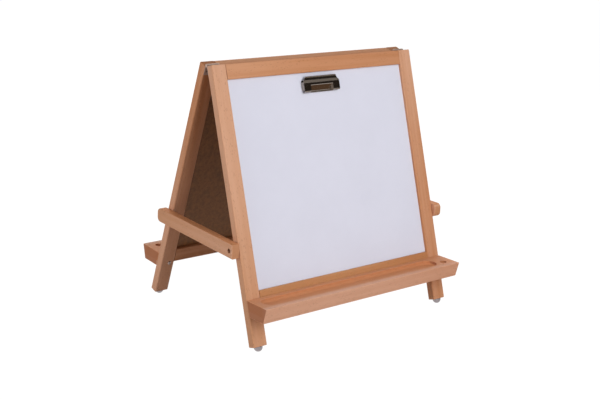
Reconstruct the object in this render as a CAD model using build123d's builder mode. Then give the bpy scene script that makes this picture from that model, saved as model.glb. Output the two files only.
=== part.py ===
"""Tabletop easel: two alike wooden frames hinged at the top and held open by two side stays.

Millimetres, +Z up, front towards -Y. The origin is on the table, midway between the four feet.
Each frame is drawn in its own leaning plane, whose origin is on the hinge axis: x runs across the
frame, s is the distance down the legs and n the distance out from the hinge axis. The rear frame
is the front frame turned half round about the vertical, so every frame part is made twice.
"""
import os
from math import atan2, cos, degrees, radians, sin, sqrt, tan

from build123d import *

os.makedirs("parts", exist_ok=True)

# ---------------------------------------------------------------- frames
overall_width = 500.0
lean = 18.0
hinge_gap = 6.0             # between the two frames' inner faces when folded
leg_length = 529.0
leg_width = 31.0
leg_thickness = 17.5
leg_drop = 2.0              # leg tops below the hinge axis
leg_below_opening = 103.0   # bottom rail's upper edge to the leg's end
leg_edge_radius = 2.5
end_chamfer = 0.8           # sawn ends of legs, trays, stays and pegs
rail_height = 29.0
rail_thickness = 16.5
rail_edge_radius = 1.5
dowel_radius = 3.0
dowel_length = 30.0
dowel_spacing = 12.0
dowel_offset = 3.0          # dowel pair moved away from the panel groove
dowel_end_gap = 0.5
glue_gap = 0.05

# ---------------------------------------------------------------- panels
sheet_thickness = 0.5       # steel writing face
backing_thickness = 3.0     # hardboard
panel_recess = 6.5          # writing face below the legs' outer face
panel_engagement = 5.0      # panel edge inside the groove
groove_play = 0.1
groove_end_play = 1.0

# ---------------------------------------------------------------- trays
tray_below_opening = 13.0   # board opening to the tray's upper back edge
tray_top_width = 61.0
tray_thickness = 30.5
tray_bevel = 16.0
tray_edge_radius = 1.0
pencil_groove_width = 36.0
pencil_groove_depth = 8.0
pencil_groove_cove = 5.0
pencil_groove_from_back = 29.0      # tray's upper back edge to the groove's middle
pencil_groove_left_margin = 15.0
pencil_groove_right_margin = 42.0
pen_hole_radius = 7.5
pen_hole_depth = 18.0
pen_hole_from_back = 38.0
pen_hole_inset = 24.5
tray_screw_inset = 19.5
tray_screw_below_top = 18.0
tray_screw_length = 38.0

# ---------------------------------------------------------------- feet
glide_radius = 8.5
glide_skirt = 1.4           # straight side above the half-round dome
glide_flat_radius = 2.5     # worn spot on which each dome stands
nail_radius = 1.25
nail_length = 16.0

# ---------------------------------------------------------------- stays
stay_height = 28.0
stay_thickness = 17.0
stay_gap = 0.5              # between stay and leg
stay_pivot_above_tray = 96.0
stay_peg_above_tray = 99.0
stay_pivot_margin = 10.0
stay_free_margin = 17.0
stay_corner_radius = 9.5
stay_edge_radius = 2.0
peg_radius = 4.0
peg_length = 26.0
peg_reach = 8.5             # peg standing out of the leg
peg_clearance = 0.5
notch_slant = 31.0          # path on which the peg leaves the stay
notch_end_gap = 0.7
stay_bore_clearance = 0.08
counterbore_radius = 4.6
counterbore_depth = 6.0
stay_screw_radius = 2.5
stay_screw_grip = 20.0      # screw length inside the leg

# ---------------------------------------------------------------- screws
pan_head_radius = 4.0
pan_head_height = 2.4
pan_head_side = 0.8         # straight side below the sloping crown
tray_screw_radius = 2.0
hinge_screw_radius = 1.5
hinge_screw_head_radius = 2.6
hinge_screw_length = 12.0
screw_tip = 3.0
recess_width = 0.9
recess_reach = 2.2          # cross recess, from the screw's axis
recess_depth = 1.0

# ---------------------------------------------------------------- butt hinges
hinge_length = 28.0
knuckle_radius = 3.1
hinge_pin_radius = 1.25
pin_head_radius = 1.9
pin_head_height = 0.5
leaf_thickness = 1.2
leaf_depth = 21.0
leaf_corner_radius = 1.5
leaf_screw_spacing = 15.0
leaf_screw_drop = 13.0
knuckle_side_gap = 0.15
knuckle_clearance = 0.3
turning_clearance = 0.05

# ---------------------------------------------------------------- paper clip
clip_gap = 8.0              # top rail to the thumb edge
clip_thumb_width = 75.0
clip_width = 90.0
clip_panel_width = 58.0     # sunk middle panel
clip_jaw_width = 84.0
clip_metal = 0.9
clip_pin_radius = 1.5
clip_pin_height = 4.6       # pin axis above the writing face
clip_pin_head_radius = 2.1
clip_pin_head_height = 0.3
clip_pin_from_thumb = 15.6  # thumb edge to pin axis, down the board
clip_shoulder = 5.0         # pin axis up to where the plate starts to narrow
clip_bead_radius = 1.4      # rolled thumb edge
clip_bead_height = 2.7      # heights of the plate's middle line, from the pin axis
clip_neck_height = 1.7
clip_plate_height = 4.0
clip_neck_up = 8.0          # the same line's bends, up and down the board from the pin axis
clip_hump_up = 3.2
clip_hump_down = 1.6
clip_side_down = 14.6       # flat side plates, down to their turned front edge
clip_jaw_down = 13.4
clip_lip_down = 15.6
clip_jaw_gap = 0.3          # above the writing face
clip_lip_gap = 0.1
clip_lip_radius = 0.8       # curled jaw edge
clip_bend_radius = 2.6
clip_boss_radius = 4.0
clip_cheek_down = 11.5
clip_cheek_gap = 0.8        # cheeks above the writing face
clip_base_thickness = 1.0
clip_base_up = 9.0          # base plate above and below the pin axis
clip_base_down = 11.0
clip_ear_radius = 2.7
clip_side_gap = 0.2
rivet_spacing = 50.0
rivet_drop = 5.5            # rivets below the pin axis
rivet_radius = 1.6
rivet_head_radius = 3.2
rivet_head_height = 1.2
rivet_head_taper = 25.0
spring_wire_radius = 0.75
spring_turns = 4
spring_wire_sides = 6
spring_pitch = 1.25         # a little under the wire's width, so the coil stays one piece
spring_arm = 8.0
spring_play = 0.3           # coil round the pin
spring_arm_gap = 0.35       # arm under the thumb plate

# ---------------------------------------------------------------- derived
half_width = overall_width / 2
leg_inner = hinge_gap / 2
leg_outer = leg_inner + leg_thickness
leg_middle = leg_inner + leg_thickness / 2
board_opening = leg_length - rail_height - leg_below_opening
leg_end = leg_drop + leg_length
opening_half = half_width - leg_width
top_rail_end = leg_drop + rail_height
bottom_rail_start = top_rail_end + board_opening
writing_face = leg_outer - panel_recess
backing_face = writing_face - sheet_thickness
panel_back = backing_face - backing_thickness
panel_groove_width = backing_thickness + sheet_thickness + 2 * groove_play
panel_groove_reach = panel_engagement + groove_end_play
hinge_middle = half_width - leg_width / 2
tray_drop = rail_height + board_opening + tray_below_opening
tray_screw_drop = tray_drop + tray_screw_below_top
stay_pivot_drop = tray_drop - stay_pivot_above_tray
stay_peg_drop = tray_drop - stay_peg_above_tray
stay_screw_length = stay_thickness - counterbore_depth + stay_gap + stay_screw_grip
clip_pin_drop = top_rail_end + clip_gap + clip_pin_from_thumb
rivet_line = clip_pin_drop + rivet_drop
clip_axis_n = writing_face + clip_pin_height
ear_outer = clip_width / 2 - clip_metal - clip_side_gap

# The domed glides stand on small flats, which sets the height of the hinge axis.
dome_centre = leg_end + glide_skirt
flat_height = sqrt(glide_radius**2 - glide_flat_radius**2)
lean_cos = cos(radians(lean))
lean_sin = sin(radians(lean))
axis_height = dome_centre * lean_cos - leg_middle * lean_sin + flat_height

front = Plane(origin=(0, 0, axis_height), x_dir=(1, 0, 0), z_dir=(0, -lean_cos, lean_sin))
rear = Plane(origin=(0, 0, axis_height), x_dir=(-1, 0, 0), z_dir=(0, lean_cos, lean_sin))


# ---------------------------------------------------------------- placing and writing
def across(frame, x, facing):
    """Plane across a frame at x, facing +1 or -1 along it. Its coordinates are (n, facing * s)."""
    return Plane(origin=frame.from_local_coords((x, 0, 0)), x_dir=frame.z_dir, z_dir=frame.x_dir * facing)


def seat(frame, x, s, n, facing):
    """Plane parallel to a frame with its origin at x, s, n, facing +1 outwards or -1 inwards."""
    origin = frame.from_local_coords((x, -s, n))
    return Plane(origin=origin, x_dir=frame.x_dir, z_dir=frame.z_dir * facing)


def turning_plane(place):
    """Plane through a place's own axis: x runs out from the axis and y along it."""
    return Plane(origin=place.origin, x_dir=place.x_dir, z_dir=place.y_dir * -1)


def save(piece, name):
    """Label one finished piece and write it as its own file."""
    piece.part.label = name
    export_step(piece.part, f"parts/{name}.step")


# ---------------------------------------------------------------- timber frame
def build_leg(frame, side):
    """A planed leg with eased edges: side -1 carries a stay's pivot screw, side +1 a stay's peg."""
    middle_x = side * hinge_middle
    inner_x = side * opening_half
    outer_x = side * half_width
    with BuildPart() as leg:
        with BuildSketch(frame.offset(leg_inner)):
            with Locations((middle_x, -leg_drop - leg_length / 2)):
                Rectangle(leg_width, leg_length)
        extrude(amount=leg_thickness)
        along_leg = Axis(frame.origin, frame.y_dir)
        fillet(leg.edges().filter_by(along_leg), leg_edge_radius)
        chamfer(leg.faces().filter_by(along_leg).edges(), end_chamfer)
        # groove for the panel's side edge, stopped at the rails
        with BuildSketch(frame.offset(panel_back - groove_play)):
            with Locations((inner_x, -top_rail_end - board_opening / 2)):
                Rectangle(2 * panel_groove_reach, board_opening + 2 * panel_groove_reach)
        extrude(amount=panel_groove_width, mode=Mode.SUBTRACT)
        # dowel holes for both rails
        with BuildSketch(across(frame, inner_x, side)):
            with Locations([(leg_middle, side * s) for s in dowel_drops()]):
                Circle(dowel_radius + glue_gap)
        extrude(amount=dowel_length / 2, mode=Mode.SUBTRACT)
        # tray screw hole through the leg
        with BuildSketch(frame.offset(leg_inner)):
            with Locations((side * (half_width - tray_screw_inset), -leg_drop - tray_screw_drop)):
                Circle(tray_screw_radius + glue_gap)
        extrude(amount=leg_thickness, mode=Mode.SUBTRACT)
        # pilot holes behind the hinge leaf
        with BuildSketch(frame.offset(leg_inner)):
            with Locations((middle_x, -leaf_screw_drop)):
                with GridLocations(leaf_screw_spacing, 0, 2, 1):
                    Circle(hinge_screw_radius + glue_gap)
        extrude(amount=hinge_screw_length - leaf_thickness, mode=Mode.SUBTRACT)
        # hole in the outer side for the stay's pivot screw or peg
        stay_hole = stay_screw_radius if side < 0 else peg_radius
        stay_hole_depth = stay_screw_grip if side < 0 else peg_length - peg_reach
        stay_hole_drop = leg_drop + (stay_pivot_drop if side < 0 else stay_peg_drop)
        with BuildSketch(across(frame, outer_x, -side)):
            with Locations((leg_middle, -side * stay_hole_drop)):
                Circle(stay_hole + glue_gap)
        extrude(amount=stay_hole_depth, mode=Mode.SUBTRACT)
        # nail hole in the foot
        with BuildSketch(foot_place(frame, side)):
            Circle(nail_radius + glue_gap)
        extrude(amount=-nail_length, mode=Mode.SUBTRACT)
    return leg


def dowel_drops():
    """Distances down the leg of the four dowels: two for each rail, clear of the panel groove."""
    top_middle = leg_drop + rail_height / 2 - dowel_offset
    bottom_middle = bottom_rail_start + rail_height / 2 + dowel_offset
    half = dowel_spacing / 2
    return [top_middle - half, top_middle + half, bottom_middle - half, bottom_middle + half]


def foot_place(frame, side):
    """Plane on a leg's square-cut lower end, facing down the leg."""
    origin = frame.from_local_coords((side * hinge_middle, -leg_end, leg_middle))
    return Plane(origin=origin, x_dir=frame.x_dir, z_dir=frame.y_dir * -1)


def build_rail(frame, start, grooved_edge):
    """A rail between the legs, starting at s = start, grooved for the panel along one edge."""
    drops = [s for s in dowel_drops() if start < s < start + rail_height]
    with BuildPart() as rail:
        with BuildSketch(frame.offset(leg_middle - rail_thickness / 2)):
            with Locations((0, -start - rail_height / 2)):
                Rectangle(2 * opening_half, rail_height)
        extrude(amount=rail_thickness)
        fillet(rail.edges().filter_by(Axis.X), rail_edge_radius)
        with BuildSketch(frame.offset(panel_back - groove_play)):
            with Locations((0, -grooved_edge)):
                Rectangle(2 * opening_half, 2 * panel_groove_reach)
        extrude(amount=panel_groove_width, mode=Mode.SUBTRACT)
        for facing in (-1, 1):
            with BuildSketch(across(frame, facing * opening_half, -facing)):
                with Locations([(leg_middle, -facing * s) for s in drops]):
                    Circle(dowel_radius + glue_gap)
            extrude(amount=dowel_length / 2, mode=Mode.SUBTRACT)
    return rail


def build_dowels(frame):
    """Eight glued dowels, half in the rails' ends and half in the legs."""
    with BuildPart() as dowels:
        for side in (-1, 1):
            half = dowel_length / 2 - dowel_end_gap
            with BuildSketch(across(frame, side * opening_half - half, 1)):
                with Locations([(leg_middle, s) for s in dowel_drops()]):
                    Circle(dowel_radius)
            extrude(amount=2 * half)
    return dowels


def build_sheet(frame, back, thickness, rivet_holes):
    """One layer of the panel, its edges held in the grooves, with the clip's rivet holes if any."""
    with BuildPart() as sheet:
        with BuildSketch(frame.offset(back)):
            with Locations((0, -top_rail_end - board_opening / 2)):
                Rectangle(2 * (opening_half + panel_engagement), board_opening + 2 * panel_engagement)
            with Locations([(x, -rivet_line) for x in rivet_holes]):
                Circle(rivet_radius + glue_gap, mode=Mode.SUBTRACT)
        extrude(amount=thickness)
    return sheet


# ---------------------------------------------------------------- tray
def build_tray(frame):
    """A solid tray of trapezium section with a routed pencil groove and a pen hole at its right end."""
    bevel = radians(tray_bevel)
    back_top = Vector(leg_outer, leg_drop + tray_drop)
    outward = Vector(cos(bevel), sin(bevel))
    back_bottom = back_top + Vector(0, tray_thickness / cos(bevel))
    bottom_width = tray_top_width - 2 * tray_thickness * tan(bevel)
    front_top = back_top + outward * tray_top_width
    front_bottom = back_bottom + outward * bottom_width
    top_place = Plane(
        origin=frame.from_local_coords((0, -back_top.Y, back_top.X)),
        x_dir=frame.x_dir,
        z_dir=frame.z_dir * sin(bevel) + frame.y_dir * cos(bevel),
    )
    groove_length = overall_width - pencil_groove_left_margin - pencil_groove_right_margin
    groove_middle = (pencil_groove_left_margin - pencil_groove_right_margin) / 2
    with BuildPart() as cutter:
        with BuildSketch(top_place):
            with Locations((groove_middle, -pencil_groove_from_back)):
                SlotOverall(groove_length, pencil_groove_width)
        extrude(amount=-pencil_groove_depth)
        groove_floor = cutter.faces().sort_by(Axis(top_place.origin, top_place.z_dir))[0]
        fillet(groove_floor.edges(), pencil_groove_cove)
    with BuildPart() as tray:
        with BuildSketch(across(frame, 0, 1)):
            Polygon(*[(p.X, p.Y) for p in (back_top, front_top, front_bottom, back_bottom)], align=None)
        extrude(amount=half_width, both=True)
        fillet(tray.edges().filter_by(Axis.X), tray_edge_radius)
        chamfer(tray.faces().filter_by(Axis.X).edges(), end_chamfer)
        add(cutter.part, mode=Mode.SUBTRACT)
        with BuildSketch(top_place):
            with Locations((half_width - pen_hole_inset, -pen_hole_from_back)):
                Circle(pen_hole_radius)
        extrude(amount=-pen_hole_depth, mode=Mode.SUBTRACT)
        with BuildSketch(frame.offset(leg_outer)):
            with Locations((0, -leg_drop - tray_screw_drop)):
                with GridLocations(overall_width - 2 * tray_screw_inset, 0, 2, 1):
                    Circle(tray_screw_radius + glue_gap)
        extrude(amount=tray_screw_length - leg_thickness, mode=Mode.SUBTRACT)
    return tray


# ---------------------------------------------------------------- screws and glides
def build_pan_screws(places, shank_radius, length):
    """Pointed wood screws with pan heads, one at each place, heads standing on the place."""
    crown = pan_head_radius - pan_head_height + pan_head_side
    with BuildPart() as screws:
        for place in places:
            with BuildSketch(turning_plane(place)):
                Polygon(
                    (0, pan_head_height),
                    (0, -length),
                    (shank_radius, screw_tip - length),
                    (shank_radius, 0),
                    (pan_head_radius, 0),
                    (pan_head_radius, pan_head_side),
                    (crown, pan_head_height),
                    align=None,
                )
            revolve(axis=Axis(place.origin, place.z_dir))
            with BuildSketch(place.offset(pan_head_height)):
                Rectangle(2 * recess_reach, recess_width)
                Rectangle(recess_width, 2 * recess_reach)
            extrude(amount=-recess_depth, mode=Mode.SUBTRACT)
    return screws


def build_hinge_screws(frame):
    """Four countersunk wood screws, two in each hinge leaf, flush with the leaf's inner face."""
    head_depth = hinge_screw_head_radius - hinge_screw_radius
    with BuildPart() as screws:
        for side in (-1, 1):
            for place in leaf_screw_places(frame, side * hinge_middle):
                with BuildSketch(turning_plane(place)):
                    Polygon(
                        (0, 0),
                        (0, -hinge_screw_length),
                        (hinge_screw_radius, screw_tip - hinge_screw_length),
                        (hinge_screw_radius, -head_depth),
                        (hinge_screw_head_radius, 0),
                        align=None,
                    )
                revolve(axis=Axis(place.origin, place.z_dir))
    return screws


def build_glides(frame):
    """Two domed steel nail-on glides, each standing on the small flat at the bottom of its dome."""
    with BuildPart() as glides:
        for side in (-1, 1):
            place = foot_place(frame, side)
            with BuildSketch(turning_plane(place)):
                with BuildLine():
                    dome = CenterArc((0, glide_skirt), glide_radius, 0, 90)
                    Polyline(
                        dome @ 0,
                        (glide_radius, 0),
                        (nail_radius, 0),
                        (nail_radius, screw_tip - nail_length),
                        (0, -nail_length),
                        dome @ 1,
                    )
                make_face()
            revolve(axis=Axis(place.origin, place.z_dir))
        split(bisect_by=Plane.XY, keep=Keep.TOP)
    return glides


def tray_screw_places(frame):
    """Screw seats on the inner faces of both legs, heads facing into the space between the frames."""
    x = half_width - tray_screw_inset
    return [seat(frame, side * x, leg_drop + tray_screw_drop, leg_inner, -1) for side in (-1, 1)]


# ---------------------------------------------------------------- stays
def stay_place(frame, other):
    """Plane on a stay's inner face with its origin on the pivot, x along the stay to the peg.

    Its z points out of the easel's side and its y towards the table.
    """
    pivot = frame.from_local_coords((-half_width - stay_gap, -leg_drop - stay_pivot_drop, leg_middle))
    peg = other.from_local_coords((half_width + stay_gap, -leg_drop - stay_peg_drop, leg_middle))
    return Plane(origin=pivot, x_dir=peg - pivot, z_dir=frame.x_dir * -1), (peg - pivot).length


def build_stay(frame, other):
    """A side stay: a recessed pivot hole at its square end, a blind slanted notch at its round end."""
    place, span = stay_place(frame, other)
    length = stay_pivot_margin + span + stay_free_margin
    middle = length / 2 - stay_pivot_margin
    notch_radius = peg_radius + peg_clearance
    slant = radians(notch_slant)
    mouth = stay_height
    mouth_at = (span - mouth * sin(slant), mouth * cos(slant))
    with BuildPart() as stay:
        with BuildSketch(place) as outline:
            with Locations((middle, 0)):
                Rectangle(length, stay_height)
            fillet(outline.vertices().group_by(Axis.X)[-1], stay_corner_radius)
        extrude(amount=stay_thickness)
        fillet(stay.faces().filter_by(place).edges(), stay_edge_radius)
        with BuildSketch(place):
            Circle(stay_screw_radius + stay_bore_clearance)
        extrude(amount=stay_thickness, mode=Mode.SUBTRACT)
        with BuildSketch(place.offset(stay_thickness)):
            Circle(counterbore_radius)
        extrude(amount=-counterbore_depth, mode=Mode.SUBTRACT)
        with BuildSketch(place):
            with Locations((span, 0)):
                Circle(notch_radius)
            with Locations(((span + mouth_at[0]) / 2, mouth_at[1] / 2)):
                Rectangle(2 * notch_radius, mouth, rotation=notch_slant)
        extrude(amount=peg_reach - stay_gap + notch_end_gap, mode=Mode.SUBTRACT)
    return stay


def stay_screw_place(frame, other):
    """Seat of the stay's pivot screw on the floor of its counterbore."""
    place, _ = stay_place(frame, other)
    return place.offset(stay_thickness - counterbore_depth)


def build_peg(frame):
    """A short dowel standing out of a leg's outer side, with an eased end, on which a stay drops."""
    place = across(frame, half_width, 1)
    with BuildPart() as peg:
        with BuildSketch(place.offset(peg_reach)):
            with Locations((leg_middle, leg_drop + stay_peg_drop)):
                Circle(peg_radius)
        extrude(amount=-peg_length)
        chamfer(peg.edges().filter_by(GeomType.CIRCLE), end_chamfer)
    return peg


# ---------------------------------------------------------------- butt hinges
def leaf_screw_places(frame, middle_x):
    """Two screw seats on a hinge leaf's inner face, heads facing the other frame."""
    steps = (-leaf_screw_spacing / 2, leaf_screw_spacing / 2)
    return [seat(frame, middle_x + step, leaf_screw_drop, leg_inner - leaf_thickness, -1) for step in steps]


def build_hinge_leaf(frame, middle_x, own_knuckles):
    """A pressed leaf on the leg's inner face, rolled round the pin at its own knuckles.

    The knuckles are thirds of the hinge, numbered -1, 0 and 1 along the frame.
    """
    third = hinge_length / 3
    bore = hinge_pin_radius + turning_clearance
    with BuildPart() as leaf:
        with BuildSketch(across(frame, middle_x, 1)):
            Circle(knuckle_radius)
            with Locations((leg_inner - leaf_thickness / 2, leaf_depth / 2)):
                Rectangle(leaf_thickness, leaf_depth)
        extrude(amount=hinge_length / 2, both=True)
        far_edges = leaf.edges().filter_by(Axis(frame.origin, frame.z_dir)).group_by(Axis.Z)[0]
        fillet(far_edges, leaf_corner_radius)
        with BuildSketch(across(frame, middle_x, 1)):
            Circle(bore)
        extrude(amount=hinge_length / 2, both=True, mode=Mode.SUBTRACT)
        for knuckle in (-1, 0, 1):
            if knuckle not in own_knuckles:
                with BuildSketch(across(frame, middle_x + knuckle * third, 1)):
                    Circle(knuckle_radius + knuckle_clearance)
                extrude(amount=third / 2 + knuckle_side_gap, both=True, mode=Mode.SUBTRACT)
        with Locations(*leaf_screw_places(frame, middle_x)):
            CounterSinkHole(
                radius=hinge_screw_radius + glue_gap,
                counter_sink_radius=hinge_screw_head_radius + glue_gap,
                depth=leaf_thickness,
                counter_sink_angle=90,
            )
    return leaf


def build_hinge_pins():
    """Two steel pins with low heads, one through each hinge's three knuckles."""
    with BuildPart() as pins:
        for middle_x in (-hinge_middle, hinge_middle):
            with BuildSketch(across(front, middle_x, 1)):
                Circle(hinge_pin_radius)
            extrude(amount=hinge_length / 2, both=True)
            for end in (-1, 1):
                with BuildSketch(across(front, middle_x + end * hinge_length / 2, end)):
                    Circle(pin_head_radius)
                extrude(amount=pin_head_height)
    return pins


# ---------------------------------------------------------------- paper clip
def clip_section(x):
    """Plane across the clip at x with its origin on the pin: x is height, y is down the board."""
    place = across(front, x, 1)
    pin_centre = place.from_local_coords((clip_axis_n, clip_pin_drop, 0))
    return Plane(origin=pin_centre, x_dir=place.x_dir, z_dir=place.z_dir)


def clip_plate_line(*bends):
    """Middle line of the lever's plate from thumb edge to jaw lip, as (height, down) from the pin."""
    return [
        (clip_bead_height, clip_bead_radius - clip_pin_from_thumb),
        (clip_neck_height, -clip_neck_up),
        (clip_plate_height, -clip_hump_up),
        *bends,
        (clip_lip_radius + clip_metal - clip_pin_height + clip_lip_gap, clip_lip_down),
    ]


def clip_profile(place, line):
    """Section of the lever's plate along a middle line, with its rolled thumb edge and jaw lip."""
    with BuildSketch(place) as profile:
        with BuildLine():
            FilletPolyline(*line, radius=clip_bend_radius)
        trace(line_width=clip_metal)
        with Locations(line[0]):
            Circle(clip_bead_radius)
        with Locations(line[-1]):
            Circle(clip_lip_radius)
    return profile.sketch


def build_clip_lever():
    """Pressed lever of the clip: rolled thumb edge, flat side plates, sunk panel, lip and cheeks."""
    crease = (clip_plate_height, clip_hump_down)
    side_edge = (clip_plate_height, clip_side_down)
    jaw_bend = (clip_metal / 2 - clip_pin_height + clip_jaw_gap, clip_jaw_down)
    line = clip_plate_line(side_edge)
    panel = clip_plate_line(crease, jaw_bend)
    cheek_floor = clip_cheek_gap - clip_pin_height
    with BuildPart() as lever:
        extrude(clip_profile(clip_section(0), panel), amount=clip_panel_width / 2, both=True)
        for end in (-1, 1):
            side_width = (clip_width - clip_panel_width) / 2 + clip_metal
            extrude(clip_profile(clip_section(end * clip_width / 2), line), amount=-end * side_width)
            # end wall of the sunk panel
            with BuildSketch(clip_section(end * clip_panel_width / 2)):
                with BuildLine():
                    FilletPolyline(crease, side_edge, line[-1], radius=clip_bend_radius)
                    FilletPolyline(crease, jaw_bend, line[-1], radius=clip_bend_radius)
                make_face()
            extrude(amount=end * clip_metal)
        # narrowed to the thumb edge and trimmed at the jaw's corners
        with BuildSketch(front.offset(writing_face)):
            thumb_end = clip_pin_drop - clip_pin_from_thumb
            jaw_end = clip_pin_drop + line[-1][1] + clip_lip_radius
            half = [
                (clip_thumb_width / 2, thumb_end),
                (clip_width / 2, clip_pin_drop - clip_shoulder),
                (clip_width / 2, jaw_end - (clip_width - clip_jaw_width) / 2),
                (clip_jaw_width / 2, jaw_end),
            ]
            right = [(x, -s) for x, s in half]
            left = [(-x, -s) for x, s in reversed(half)]
            Polygon(*right, *left, align=None)
        extrude(amount=2 * (clip_pin_height + clip_plate_height), mode=Mode.INTERSECT)
        # cheeks folded down over the pin
        for end in (-1, 1):
            with BuildSketch(clip_section(end * clip_width / 2)):
                Circle(clip_boss_radius)
                Rectangle(2 * clip_plate_height, clip_shoulder, align=(Align.MIN, Align.MAX))
                with Locations((cheek_floor, 0)):
                    Rectangle(3 * clip_plate_height, clip_cheek_down, align=(Align.MIN, Align.MIN))
                with BuildLine():
                    path = FilletPolyline(*line, radius=clip_bend_radius)
                    jaw_corner = (-clip_pin_height, line[-1][1])
                    thumb_corner = (-clip_pin_height, line[0][1])
                    Polyline(path @ 1, jaw_corner, thumb_corner, path @ 0)
                make_face(mode=Mode.INTERSECT)
            extrude(amount=-end * clip_metal)
            with BuildSketch(clip_section(end * clip_width / 2)):
                Circle(clip_pin_radius + turning_clearance)
            extrude(amount=-end * clip_metal, mode=Mode.SUBTRACT)
    return lever


def build_clip_base():
    """Riveted base plate of the clip with two ears bent up to hold the pin."""
    with BuildPart() as base:
        with BuildSketch(front.offset(writing_face)):
            length = clip_base_up + clip_base_down
            with Locations((0, -clip_pin_drop - (clip_base_down - clip_base_up) / 2)):
                Rectangle(2 * ear_outer, length)
            with Locations((0, -rivet_line)):
                with GridLocations(rivet_spacing, 0, 2, 1):
                    Circle(rivet_radius + glue_gap, mode=Mode.SUBTRACT)
        extrude(amount=clip_base_thickness)
        for end in (-1, 1):
            with BuildSketch(clip_section(end * ear_outer)):
                Circle(clip_ear_radius)
                Rectangle(clip_pin_height, 2 * clip_ear_radius, align=(Align.MAX, Align.CENTER))
                Circle(clip_pin_radius, mode=Mode.SUBTRACT)
            extrude(amount=-end * clip_metal)
    return base


def build_clip_pin():
    """Clip pin, fast in the base's ears, with riveted-over heads outside the lever's cheeks."""
    with BuildPart() as pin:
        with BuildSketch(clip_section(0)):
            Circle(clip_pin_radius)
        extrude(amount=clip_width / 2 + turning_clearance, both=True)
        for end in (-1, 1):
            with BuildSketch(clip_section(end * (clip_width / 2 + turning_clearance))):
                Circle(clip_pin_head_radius)
            extrude(amount=end * clip_pin_head_height)
    return pin


def build_clip_spring():
    """Close-wound torsion spring round the pin: one arm under the thumb plate, one on the base."""
    coil_radius = clip_pin_radius + spring_play + spring_wire_radius
    half_coil = (spring_turns - 1) * spring_pitch / 2
    place = clip_section(0)
    lengthwise = Plane(origin=place.origin, x_dir=place.x_dir, z_dir=place.y_dir * -1)
    with BuildPart() as spring:
        with BuildSketch(lengthwise):
            for turn in range(spring_turns):
                with Locations((coil_radius, turn * spring_pitch - half_coil)):
                    RegularPolygon(spring_wire_radius, spring_wire_sides)
        revolve(axis=Axis(place.origin, place.z_dir))
        under_plate = clip_neck_height - clip_metal / 2 - spring_arm_gap - spring_wire_radius
        on_base = clip_base_thickness + spring_wire_radius - clip_pin_height
        for side, start, finish in ((1, coil_radius, under_plate), (-1, -coil_radius, on_base)):
            section = clip_section(side * half_coil)
            foot = section.from_local_coords((start, 0, 0))
            tip = section.from_local_coords((finish, -spring_arm, 0))
            with BuildSketch(Plane(origin=foot, z_dir=tip - foot)):
                RegularPolygon(spring_wire_radius, spring_wire_sides)
            extrude(amount=(tip - foot).length)
    return spring


def build_clip_rivets():
    """Two rivets through the base, the steel face and the hardboard, clinched behind."""
    with BuildPart() as rivets:
        for side in (-1, 1):
            x = side * rivet_spacing / 2
            face = seat(front, x, rivet_line, writing_face + clip_base_thickness, 1)
            back = seat(front, x, rivet_line, panel_back, -1)
            with BuildSketch(back):
                Circle(rivet_radius)
            extrude(amount=panel_back - writing_face - clip_base_thickness)
            for place in (face, back):
                with BuildSketch(place):
                    Circle(rivet_head_radius)
                extrude(amount=rivet_head_height, taper=rivet_head_taper)
    return rivets


# ---------------------------------------------------------------- pieces of both frames
# Across a frame, side -1 is the easel's left at the front and its right at the rear.
for frame_name, frame, other_frame, low, high in (
    ("front", front, rear, "left", "right"),
    ("rear", rear, front, "right", "left"),
):
    save(build_leg(frame, -1), f"{frame_name}_{low}_leg")
    save(build_leg(frame, 1), f"{frame_name}_{high}_leg")
    save(build_rail(frame, leg_drop, top_rail_end), f"{frame_name}_top_rail")
    save(build_rail(frame, bottom_rail_start, bottom_rail_start), f"{frame_name}_bottom_rail")
    save(build_dowels(frame), f"{frame_name}_rail_dowels")
    save(build_tray(frame), f"{frame_name}_tray")
    tray_screws = build_pan_screws(tray_screw_places(frame), tray_screw_radius, tray_screw_length)
    save(tray_screws, f"{frame_name}_tray_screws")
    save(build_glides(frame), f"{frame_name}_glides")
    save(build_hinge_screws(frame), f"{frame_name}_hinge_screws")
    save(build_stay(frame, other_frame), f"{low}_stay")
    stay_screw_places = [stay_screw_place(frame, other_frame)]
    stay_screw = build_pan_screws(stay_screw_places, stay_screw_radius, stay_screw_length)
    save(stay_screw, f"{low}_stay_screw")
    save(build_peg(frame), f"{high}_stay_peg")

# ---------------------------------------------------------------- panels
rivet_places = (-rivet_spacing / 2, rivet_spacing / 2)
save(build_sheet(front, backing_face, sheet_thickness, rivet_places), "whiteboard_sheet")
save(build_sheet(front, panel_back, backing_thickness, rivet_places), "whiteboard_backing")
save(build_sheet(rear, panel_back, backing_thickness + sheet_thickness, ()), "chalkboard_panel")

# ---------------------------------------------------------------- hinges and clip
for side_name, middle_x in (("left", -hinge_middle), ("right", hinge_middle)):
    save(build_hinge_leaf(front, middle_x, (-1, 1)), f"{side_name}_hinge_front_leaf")
    save(build_hinge_leaf(rear, -middle_x, (0,)), f"{side_name}_hinge_rear_leaf")
save(build_hinge_pins(), "hinge_pins")
save(build_clip_lever(), "clip_lever")
save(build_clip_base(), "clip_base")
save(build_clip_pin(), "clip_pin")
save(build_clip_spring(), "clip_spring")
save(build_clip_rivets(), "clip_rivets")

# ---------------------------------------------------------------- what the joints need
stay_plane, stay_span = stay_place(front, rear)
stay_rise = degrees(atan2(stay_plane.x_dir.Z, stay_plane.x_dir.Y))
print("hinge axis height", axis_height)
print("left stay pivot", stay_plane.origin, "span", stay_span, "rise", stay_rise)
print("stay swing", 90 - lean - stay_rise, "fold", 2 * lean)
print("clip pin", clip_section(0).origin)
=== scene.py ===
from math import cos, radians, sin

import bmesh
import bpy
from mathutils import Euler, Matrix, Vector


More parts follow.
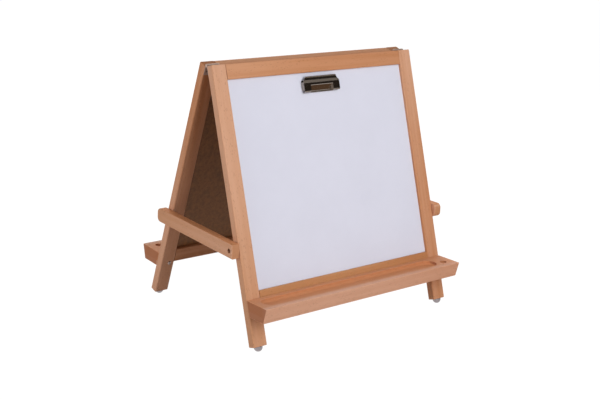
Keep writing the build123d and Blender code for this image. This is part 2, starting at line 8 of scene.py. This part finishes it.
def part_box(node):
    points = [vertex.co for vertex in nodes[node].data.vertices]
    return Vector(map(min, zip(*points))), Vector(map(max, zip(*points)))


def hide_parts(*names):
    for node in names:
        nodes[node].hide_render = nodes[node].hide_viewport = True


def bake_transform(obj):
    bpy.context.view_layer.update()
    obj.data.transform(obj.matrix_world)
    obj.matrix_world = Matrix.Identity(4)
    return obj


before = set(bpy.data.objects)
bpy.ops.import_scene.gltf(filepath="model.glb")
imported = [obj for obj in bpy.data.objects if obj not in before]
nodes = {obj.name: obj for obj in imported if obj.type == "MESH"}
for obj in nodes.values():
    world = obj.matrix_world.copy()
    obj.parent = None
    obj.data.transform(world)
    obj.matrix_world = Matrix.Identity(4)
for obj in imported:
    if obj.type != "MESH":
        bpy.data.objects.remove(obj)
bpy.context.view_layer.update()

# ---- Camera
# A fairly long lens to the left of the easel's front. It stands above the easel's top and looks
# down at it, with the slight roll of a camera held by hand.
eye_x, eye_y = -1.41077, -1.72508
eye_above_hinge = 0.36092
yaw, pitch, roll = 0.68237, -0.28672, 0.05045
camera_data = bpy.data.cameras.new("camera")
camera_data.lens = 67.69
camera_data.sensor_width = 36.0
camera_data.clip_start = 0.1
camera_data.clip_end = 50.0
camera = bpy.data.objects.new("camera", camera_data)
sight = Vector((sin(yaw) * cos(pitch), cos(yaw) * cos(pitch), sin(pitch)))
level = sight.cross(Vector((0, 0, 1))).normalized()
upright = level.cross(sight)
right = level * cos(roll) + upright * sin(roll)
above = upright * cos(roll) - level * sin(roll)
turned = Matrix((right, above, -sight)).transposed().to_4x4()
hinge_low, hinge_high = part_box("hinge_pins")
hinge_height = (hinge_low.z + hinge_high.z) / 2
camera.matrix_world = Matrix.Translation((eye_x, eye_y, hinge_height + eye_above_hinge)) @ turned
bpy.context.scene.collection.objects.link(camera)
bpy.context.scene.camera = camera

# ---- Legs
# Four planed uprights of steamed beech, 31 by 17.5 mm, with eased edges and square ends. The
# panel's edges sit in a groove down the inner side of each, and the rails are dowelled between them.
LEAN = radians(18.0)


class Wire:
    """One socket of a material's network. Sums, products and differences add their Math nodes."""

    def __init__(self, tree, socket=None):
        self.tree = tree
        self.socket = socket

    def node(self, kind, settings=None, values=None, output=0):
        made = self.tree.nodes.new(kind)
        for name, value in (settings or {}).items():
            setattr(made, name, value)
        for name, value in (values or {}).items():
            if isinstance(value, Wire):
                self.tree.links.new(value.socket, made.inputs[name])
            else:
                made.inputs[name].default_value = value
        return Wire(self.tree, made.outputs[output] if len(made.outputs) else None)

    def maths(self, operation, *values):
        return self.node("ShaderNodeMath", {"operation": operation}, dict(enumerate(values)))

    def __add__(self, other):
        return self.maths("ADD", self, other)

    def __sub__(self, other):
        return self.maths("SUBTRACT", self, other)

    def __mul__(self, other):
        return self.maths("MULTIPLY", self, other)

    def __radd__(self, other):
        return self.maths("ADD", other, self)

    def __rsub__(self, other):
        return self.maths("SUBTRACT", other, self)

    def __rmul__(self, other):
        return self.maths("MULTIPLY", other, self)

    def clip(self, low, high, bottom=0.0, top=1.0):
        """The wire's span from low to high stretched smoothly over bottom to top."""
        span = {0: self, 1: low, 2: high, 3: bottom, 4: top}
        return self.node("ShaderNodeMapRange", {"interpolation_type": "SMOOTHSTEP"}, span)

    def vector(self, operation, other, output=0):
        return self.node("ShaderNodeVectorMath", {"operation": operation}, {0: self, 1: other}, output)

    def along(self, direction):
        """How far the wire's vector reaches along a direction."""
        return self.vector("DOT_PRODUCT", tuple(direction), 1)

    def noise(self, scale, detail=2.0, roughness=0.5):
        values = {"Vector": self, "Scale": scale, "Detail": detail, "Roughness": roughness}
        return self.node("ShaderNodeTexNoise", None, values)

    def blend(self, factor, other):
        """The wire's colour mixed towards another colour by a factor."""
        return mix(self, factor, self, other)


def mix(wire, factor, first, second):
    """A colour between two others, the first where the factor is 0."""
    return wire.node("ShaderNodeMix", {"data_type": "RGBA"}, {0: factor, 6: first, 7: second}, 2)


def finish(name, paint):
    """A new material. paint gets a wire and returns the values of the Principled shader's sockets."""
    material = bpy.data.materials.new(name)
    material.use_nodes = True
    material.node_tree.nodes.clear()
    start = Wire(material.node_tree)
    shader = start.node("ShaderNodeBsdfPrincipled", None, paint(start))
    start.node("ShaderNodeOutputMaterial", None, {"Surface": shader})
    return material


def coordinates(wire):
    """Places on the piece, in metres of the easel's own frame."""
    return wire.node("ShaderNodeTexCoord", None, None, 3)


def facing(wire):
    """The way that the surface faces, in the easel's own frame."""
    return wire.node("ShaderNodeTexCoord", None, None, 1)


def colour(red, green, blue):
    """A screen colour, 0 to 255, as the shader's linear red, green, blue and alpha."""
    screen = [value / 255 for value in (red, green, blue)]
    linear = [v / 12.92 if v <= 0.04045 else ((v + 0.055) / 1.055) ** 2.4 for v in screen]
    return (*linear, 1.0)


def bump(wire, height, strength, distance):
    values = {"Height": height, "Strength": strength, "Distance": distance}
    return wire.node("ShaderNodeBump", None, values)


def dress(material, *names):
    """Give the named pieces a material."""
    for name in names:
        mesh = nodes[name].data
        mesh.materials.clear()
        mesh.materials.append(material)


# Steamed beech, planed and sanded, under a thin satin lacquer: pinkish tan with faint growth
# bands, fine fibre lines and short brown flecks along the grain. Cut ends drink more lacquer and
# are darker. Each board was sawn from another place, so each has its own tone and its own grain.
# A pattern's scale counts its marks in a metre, and its stretch draws them out along the grain.
band_scale, band_stretch = 75.0, 0.035
fibre_scale, fibre_stretch = 900.0, 0.016
fleck_scale, fleck_patch_scale, fleck_stretch = 620.0, 160.0, 0.2
fleck_brown = colour(112, 66, 38)
# Painted shade: a darker orange for the stays' tops and the trays' grooves.
shade_tone = colour(200, 132, 86)
sawn_end = (0.66, 0.58, 0.52)
grain_relief = 0.00012


def beech(name, light, dark, grain, turn=0.0, seed=0.0, end_tone=sawn_end, shade_falloff=None, shade_mask=None):
    """Timber whose grain runs along axis grain (0 X, 1 Y, 2 Z) once turned about X by turn.

    shade_falloff is the stretch of the board over which it is painted darker towards one end, a painted
    falloff of the light, and shade_mask a mask of painted shade in shade_tone.
    """
    axis = [0.0, 0.0, 0.0]
    axis[grain] = 1.0
    straight = Vector(axis)
    straight.rotate(Euler((-turn, 0, 0)))

    def paint(wire):
        moved = {"Location": (seed, 1.7 * seed, 2.3 * seed), "Rotation": (turn, 0, 0)}
        place = wire.node("ShaderNodeMapping", None, {"Vector": coordinates(wire), **moved})

        def drawn_out(stretch):
            scale = [1.0, 1.0, 1.0]
            scale[grain] = stretch
            return place.vector("MULTIPLY", scale)

        bands = drawn_out(band_stretch).noise(band_scale, 3.0, 0.55)
        fibres = drawn_out(fibre_stretch).noise(fibre_scale, 2.0, 0.6)
        dashes = drawn_out(fleck_stretch)
        cells = wire.node(
            "ShaderNodeTexVoronoi",
            {"feature": "F1"},
            {"Vector": dashes, "Scale": fleck_scale, "Randomness": 1.0},
        )
        kept = dashes.noise(fleck_patch_scale, 1.0)
        flecks = cells.clip(0.12, 0.34, 1.0, 0.0) * kept.clip(0.46, 0.58)
        endwise = facing(wire).along(straight)
        cut_end = endwise.maths("ABSOLUTE", endwise).clip(0.75, 0.95)
        shade = bands.clip(0.3, 0.7) * 0.75 + fibres.clip(0.3, 0.72) * 0.25
        # Painted shade: the board darkens towards one end, where the light falls off.
        if shade_falloff:
            painted_falloff = coordinates(wire).along(straight).clip(*shade_falloff, 1.0, 0.0)
            shade = shade * 0.5 + painted_falloff * 0.5
        board = mix(wire, shade, light, dark).blend(flecks * 0.38, fleck_brown)
        # Painted shade in a darker orange, where the mask says.
        if shade_mask:
            board = board.blend(shade_mask(wire) * 0.8, shade_tone)
        end_colour = tuple(part * value for part, value in zip(end_tone, dark)) + (1.0,)
        relief = fibres * 0.6 - flecks * 0.7
        return {
            "Base Color": board.blend(cut_end * 0.85, end_colour),
            "Roughness": 0.46 + fibres * 0.1 + cut_end * 0.15,
            "Specular IOR Level": 0.12,
            "Coat Weight": 0.03,
            "Coat Roughness": 0.3,
            "Normal": bump(wire, relief, 0.25, grain_relief),
        }

    return finish(name, paint)


pale = colour(214, 166, 137)
straw = colour(208, 155, 120)
tan = colour(197, 143, 106)
warm = colour(188, 128, 88)

# Three legs are painted darker towards one end: painted shade where the light falls off.
dress(beech("front_left_leg_beech", pale, tan, 2, LEAN, 0.31, shade_falloff=(0.0, 0.28)), "front_left_leg")
dress(beech("front_right_leg_beech", pale, warm, 2, LEAN, 1.73, shade_falloff=(0.15, 0.46)), "front_right_leg")
dress(beech("rear_left_leg_beech", pale, warm, 2, -LEAN, 2.57, shade_falloff=(0.45, 0.1)), "rear_left_leg")
dress(beech("rear_right_leg_beech", straw, tan, 2, -LEAN, 3.19), "rear_right_leg")

# ---- Rails, dowels and pegs
# Two rails close each frame above and below its panel, dowelled and glued between the legs. A peg
# of the same wood stands out of one leg on each side and carries a stay.
amber = colour(196, 145, 103)
deep = colour(176, 114, 70)

# The front rails are painted darker towards one end: painted shade where the light falls off.
dress(beech("front_top_rail_beech", straw, warm, 0, LEAN, 4.11, shade_falloff=(0.0, -0.25)), "front_top_rail")
dress(beech("front_bottom_rail_beech", amber, deep, 0, LEAN, 5.37, shade_falloff=(0.2, -0.05)), "front_bottom_rail")
dress(beech("rear_rails_beech", straw, warm, 0, -LEAN, 6.61), "rear_top_rail", "rear_bottom_rail")
dress(beech("dowels_beech", pale, tan, 0, 0.0, 7.9), "front_rail_dowels", "rear_rail_dowels")
dress(beech("pegs_beech", pale, tan, 0, 0.0, 8.3), "left_stay_peg", "right_stay_peg")

# ---- Trays
# One solid board each, planed to a trapezium section, with a pencil groove routed along the top
# that stops short of both ends. It is screwed to the legs from inside the easel.
tray_light = colour(215, 167, 140)
tray_dark = colour(201, 146, 116)
tray_end = (0.66, 0.53, 0.44)
# Painted shade: each tray darkens towards one end, where the light falls off.
tray_shade_falloff = (0.25, 0.0)
tray_tilt = radians(2.0)
groove_rim = (0.0002, 0.0012)       # below the top face, where the routed wood and its painted shade begin
shade_floor = (0.019, 0.0195)       # below the top face, where the painted shade ends
shade_front = (0.006, 0.016)        # behind the front edge, where it begins


def groove_shade(name, side):
    """A mask of the groove and the wood behind it, painted in shade. Side is -1 for the front tray and 1
    for the rear.
    """
    low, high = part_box(name)
    front_edge = Vector((0, low.y if side < 0 else high.y, high.z))
    outward = Vector((0, side * cos(tray_tilt), sin(tray_tilt)))
    upward = Vector((0, -side * sin(tray_tilt), cos(tray_tilt)))

    def mask(wire):
        place = coordinates(wire)
        depth = front_edge.dot(upward) - place.along(upward)
        inward = front_edge.dot(outward) - place.along(outward)
        routed = depth.clip(*groove_rim, 0.75, 1.0)
        return routed * depth.clip(*shade_floor, 1.0, 0.0) * inward.clip(*shade_front)

    return mask


# The grooves are painted a darker orange: painted shade, and partly the raw routed wood's own colour.
for name, side, seed in (("front_tray", -1, 9.7), ("rear_tray", 1, 10.9)):
    shade_mask = groove_shade(name, side)
    board = beech(name + "_beech", tray_light, tray_dark, 0, 0.0, seed, tray_end, tray_shade_falloff, shade_mask)
    dress(board, name)

# ---- Stays
# A flat bar on each side ties the two frames at their spread. It turns on a screw at its square
# end and drops with a blind notch over the other leg's peg at its rounded end.
stay_end = (0.88, 0.84, 0.8)
# Painted shade: each stay darkens towards one end, where the light falls off.
stay_shade_falloff = (0.15, -0.12)


def shaded_tops(wire):
    """A mask of the faces that look up, which are painted in shade."""
    return facing(wire).along((0.0, 0.0, 1.0)).clip(0.75, 0.85)


# The stays' tops are painted darker: painted shade.
for name, seed in (("left_stay", 12.1), ("right_stay", 13.3)):
    bar = beech(name + "_beech", pale, tan, 1, 0.0, seed, stay_end, stay_shade_falloff, shaded_tops)
    dress(bar, name)

# ---- Writing panels
# The front panel is steel sheet with a white dry-wipe lacquer, faintly clouded where it has been
# wiped. It lies on brown hardboard. The rear panel is the same hardboard with a matt black face.
wiped_white = colour(220, 222, 237)
clouded_white = colour(217, 219, 234)
board_brown = colour(142, 93, 46)
board_umber = colour(115, 74, 33)
strand_tan = colour(153, 103, 60)
chalk_black = colour(38, 41, 41)
chalk_dust = colour(53, 56, 55)
face_paint = (-0.00035, -0.00025)   # from the outer face inwards, where the black paint ends
fibre_relief = 0.0001


def dry_wipe(wire):
    cloudy = coordinates(wire).noise(9.0, 4.0, 0.6).clip(0.3, 0.7)
    return {
        "Base Color": mix(wire, cloudy, wiped_white, clouded_white),
        "Roughness": 0.42 + cloudy * 0.04,
        "Specular IOR Level": 0.35,
    }


def pressed_fibre(wire, place):
    """The mottled brown of hardboard, and the height of its fibres."""
    mottle = place.noise(140.0, 4.0, 0.65)
    strands = place.vector("MULTIPLY", (1.0, 0.25, 0.25)).noise(520.0, 2.0)
    brown = mix(wire, mottle.clip(0.3, 0.7), board_brown, board_umber)
    return brown.blend(strands.clip(0.5, 0.75) * 0.3, strand_tan), strands


def hardboard(wire):
    brown, strands = pressed_fibre(wire, coordinates(wire))
    return {"Base Color": brown, "Roughness": 0.62, "Normal": bump(wire, strands, 0.2, fibre_relief)}


def chalk_faced(wire):
    """Hardboard, black and dusty on the side that looks out of the back."""
    place = coordinates(wire)
    brown, strands = pressed_fibre(wire, place)
    outward = Vector((0, cos(LEAN), sin(LEAN)))
    low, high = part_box("chalkboard_panel")
    outer_face = Vector((0, high.y, low.z)).dot(outward)
    faced = (place.along(outward) - outer_face).clip(*face_paint)
    swept = place.vector("MULTIPLY", (1.0, 3.0, 3.0)).noise(14.0, 4.0, 0.6)
    dusty = mix(wire, swept.clip(0.35, 0.85), chalk_black, chalk_dust)
    grain = place.noise(1500.0, 2.0)
    return {
        "Base Color": brown.blend(faced, dusty),
        "Roughness": 0.62 + faced * 0.25,
        "Normal": bump(wire, strands * (1 - faced) + grain * faced, 0.2, fibre_relief),
    }


dress(finish("dry_wipe_steel", dry_wipe), "whiteboard_sheet")
dress(finish("hardboard", hardboard), "whiteboard_backing")
dress(finish("chalk_faced_hardboard", chalk_faced), "chalkboard_panel")

# ---- Hinges and screws
# Two steel butt hinges join the frames at the tops of the legs: leaves rolled round a loose pin,
# zinc plated, and held by countersunk screws. Pan-headed screws hold the trays and the stays.
zinc_grey = colour(200, 174, 160)
screw_grey = colour(156, 138, 130)
dulled = 0.72                       # brightness of the plating where it is hazy
scratch_relief = 0.00005


def plated(tint, rough, scratch):
    """Plated steel, hazy in patches, with fine scratches along the easel's width."""

    def paint(wire):
        place = coordinates(wire)
        hazy = place.noise(220.0, 3.0, 0.6).clip(0.35, 0.7)
        lines = place.vector("MULTIPLY", (0.06, 1.0, 1.0)).noise(2600.0, 2.0)
        dull = tuple(dulled * value for value in tint[:3]) + (1.0,)
        return {
            "Base Color": mix(wire, hazy * 0.6, tint, dull),
            "Metallic": 1.0,
            "Roughness": rough + hazy * 0.12,
            "Normal": bump(wire, lines, scratch, scratch_relief),
        }

    return paint


dress(
    finish("zinc_plate", plated(zinc_grey, 0.4, 0.1)),
    "left_hinge_front_leaf",
    "right_hinge_front_leaf",
    "left_hinge_rear_leaf",
    "right_hinge_rear_leaf",
    "hinge_pins",
)
dress(
    finish("steel_screws", plated(screw_grey, 0.36, 0.1)),
    "front_hinge_screws",
    "rear_hinge_screws",
    "front_tray_screws",
    "rear_tray_screws",
    "left_stay_screw",
    "right_stay_screw",
)

# ---- Glides
# A domed steel glide is nailed under each leg, nickel plated, with a small worn flat on which the
# easel stands.
nickel_grey = colour(158, 149, 151)
dress(finish("nickel_plate", plated(nickel_grey, 0.22, 0.06)), "front_glides", "rear_glides")

# ---- Paper clip
# A sprung lever clip of bright chromed steel riveted to the top of the writing face: a base plate
# with two ears, a pin, a torsion spring and a pressed lever with a rolled thumb edge.
chrome_grey = colour(158, 149, 141)
pressing_relief = 0.0006


def chromed(wire):
    place = coordinates(wire)
    pressed = place.noise(55.0, 1.0)
    smudged = place.noise(160.0, 3.0, 0.6).clip(0.4, 0.7)
    return {
        "Base Color": chrome_grey,
        "Metallic": 1.0,
        "Roughness": 0.08 + smudged * 0.1,
        "Normal": bump(wire, pressed, 0.5, pressing_relief),
    }


chrome = finish("bright_chrome", chromed)
dress(chrome, "clip_lever", "clip_base", "clip_pin", "clip_spring", "clip_rivets")

# On the clip the spring winds up as the lever is pressed: the arm on the base stays, the arm under the
# thumb plate turns with the plate, and the coil between them shares out the turn. Here the coil is only
# copied as one welded mesh, torsion_spring, which takes the place of clip_spring.
coil_mesh = nodes["clip_spring"].data.copy()
coil_mesh.name = "torsion_spring"
shape = bmesh.new()
shape.from_mesh(coil_mesh)
bmesh.ops.remove_doubles(shape, verts=shape.verts, dist=1e-6)
shape.to_mesh(coil_mesh)
shape.free()
torsion_spring = bpy.data.objects.new("torsion_spring", coil_mesh)
bpy.context.scene.collection.objects.link(torsion_spring)
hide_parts("clip_spring")
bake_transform(torsion_spring)

# ---- Floor, lamps and background
# A pale seamless floor under five large soft lamps, in a white room. The floor is nearly white to
# the eye and to polished metal, and keeps the easel's soft shadow.
floor_tone = (0.55, 0.46, 0.4, 1.0)
white = (1.0, 1.0, 1.0, 1.0)
floor_glow = 1.12
floor_shadow = 0.1                  # share of the matt floor that the camera still sees
room_light = 0.24                   # of the white room on the easel, where 1 is white


def direct_rays(start):
    """A mask of the rays that reach the eye straight, off polished metal or through glass."""
    path = start.node("ShaderNodeLightPath")
    ways = path.socket.node.outputs
    seen = Wire(start.tree, ways["Is Camera Ray"])
    mirrored = Wire(start.tree, ways["Is Glossy Ray"])
    through = Wire(start.tree, ways["Is Transmission Ray"])
    return seen.maths("MAXIMUM", seen.maths("MAXIMUM", seen, mirrored), through)


floor_mesh = bpy.data.meshes.new("floor")
shape = bmesh.new()
bmesh.ops.create_grid(shape, x_segments=1, y_segments=1, size=20.0)
shape.to_mesh(floor_mesh)
shape.free()
floor = bpy.data.objects.new("floor", floor_mesh)
bpy.context.scene.collection.objects.link(floor)

floor_material = bpy.data.materials.new("pale_floor")
floor_material.use_nodes = True
floor_material.node_tree.nodes.clear()
start = Wire(floor_material.node_tree)
glowing = direct_rays(start) * (1.0 - floor_shadow)
matt = start.node("ShaderNodeBsdfDiffuse", None, {"Color": floor_tone})
glow = start.node("ShaderNodeEmission", None, {"Color": white, "Strength": floor_glow})
both = start.node("ShaderNodeMixShader", None, {0: glowing, 1: matt, 2: glow})
start.node("ShaderNodeOutputMaterial", None, {"Surface": both})
floor_mesh.materials.append(floor_material)

world = bpy.data.worlds.new("studio")
world.use_nodes = True
world.node_tree.nodes.clear()
start = Wire(world.node_tree)
strength = room_light + direct_rays(start) * (1.0 - room_light)
sky = start.node("ShaderNodeBackground", None, {"Color": white, "Strength": strength})
start.node("ShaderNodeOutputWorld", None, {"Surface": sky})
bpy.context.scene.world = world


def lamp(name, place, aim, size, power):
    """A square soft lamp, its power in watts, that shows in no reflection."""
    data = bpy.data.lights.new(name, "AREA")
    data.shape = "SQUARE"
    data.size = size
    data.energy = power
    light = bpy.data.objects.new(name, data)
    light.location = place
    light.rotation_euler = (Vector(aim) - Vector(place)).to_track_quat("-Z", "Y").to_euler()
    light.visible_glossy = False
    bpy.context.scene.collection.objects.link(light)


easel_middle = (0.0, 0.0, 0.25)
lamp("front_lamp", (0.0, -2.3, 0.65), easel_middle, 1.2, 16.6)
lamp("near_lamp", (0.0, -1.4, 1.3), (0.0, 0.0, 0.35), 1.0, 11.3)
lamp("left_lamp", (-2.6, -0.05, 0.9), easel_middle, 1.2, 23.5)
lamp("right_lamp", (2.5, 0.9, 0.9), easel_middle, 1.2, 20.0)
lamp("back_lamp", (0.9, 2.4, 1.3), easel_middle, 1.4, 42.0)


def card(name, middle, aim, width, height, tone):
    """A card that shows only in reflections, turned to face a point."""
    mesh = bpy.data.meshes.new(name)
    sheet = bmesh.new()
    bmesh.ops.create_grid(sheet, x_segments=1, y_segments=1, size=0.5)
    bmesh.ops.scale(sheet, vec=(width, height, 1.0), verts=sheet.verts)
    turn = (Vector(aim) - Vector(middle)).to_track_quat("Z", "Y").to_matrix().to_4x4()
    bmesh.ops.transform(sheet, matrix=Matrix.Translation(middle) @ turn, verts=sheet.verts)
    sheet.to_mesh(mesh)
    sheet.free()
    made = bpy.data.objects.new(name, mesh)
    made.visible_camera = False
    made.visible_diffuse = False
    made.visible_shadow = False
    made.visible_transmission = False
    bpy.context.scene.collection.objects.link(made)
    material = bpy.data.materials.new(name)
    material.use_nodes = True
    material.node_tree.nodes.clear()
    start = Wire(material.node_tree)
    paper = start.node("ShaderNodeEmission", None, {"Color": tone, "Strength": 1.0})
    start.node("ShaderNodeOutputMaterial", None, {"Surface": paper})
    mesh.materials.append(material)


# A dark card across the room, a grey one overhead and a brown one on the floor give the clip its
# reflections.
card("dark_card", (1.6, -1.95, 1.05), (0.0, 0.0, 0.45), 2.2, 1.5, colour(62, 55, 50))
card("grey_card", (1.27, -0.47, 1.95), (0.0, -0.03, 0.46), 1.6, 1.6, colour(166, 161, 156))
card("brown_card", (0.62, -0.42, 0.004), (0.62, -0.42, 1.0), 0.7, 0.6, colour(122, 96, 75))

bpy.context.scene.view_settings.view_transform = "Standard"
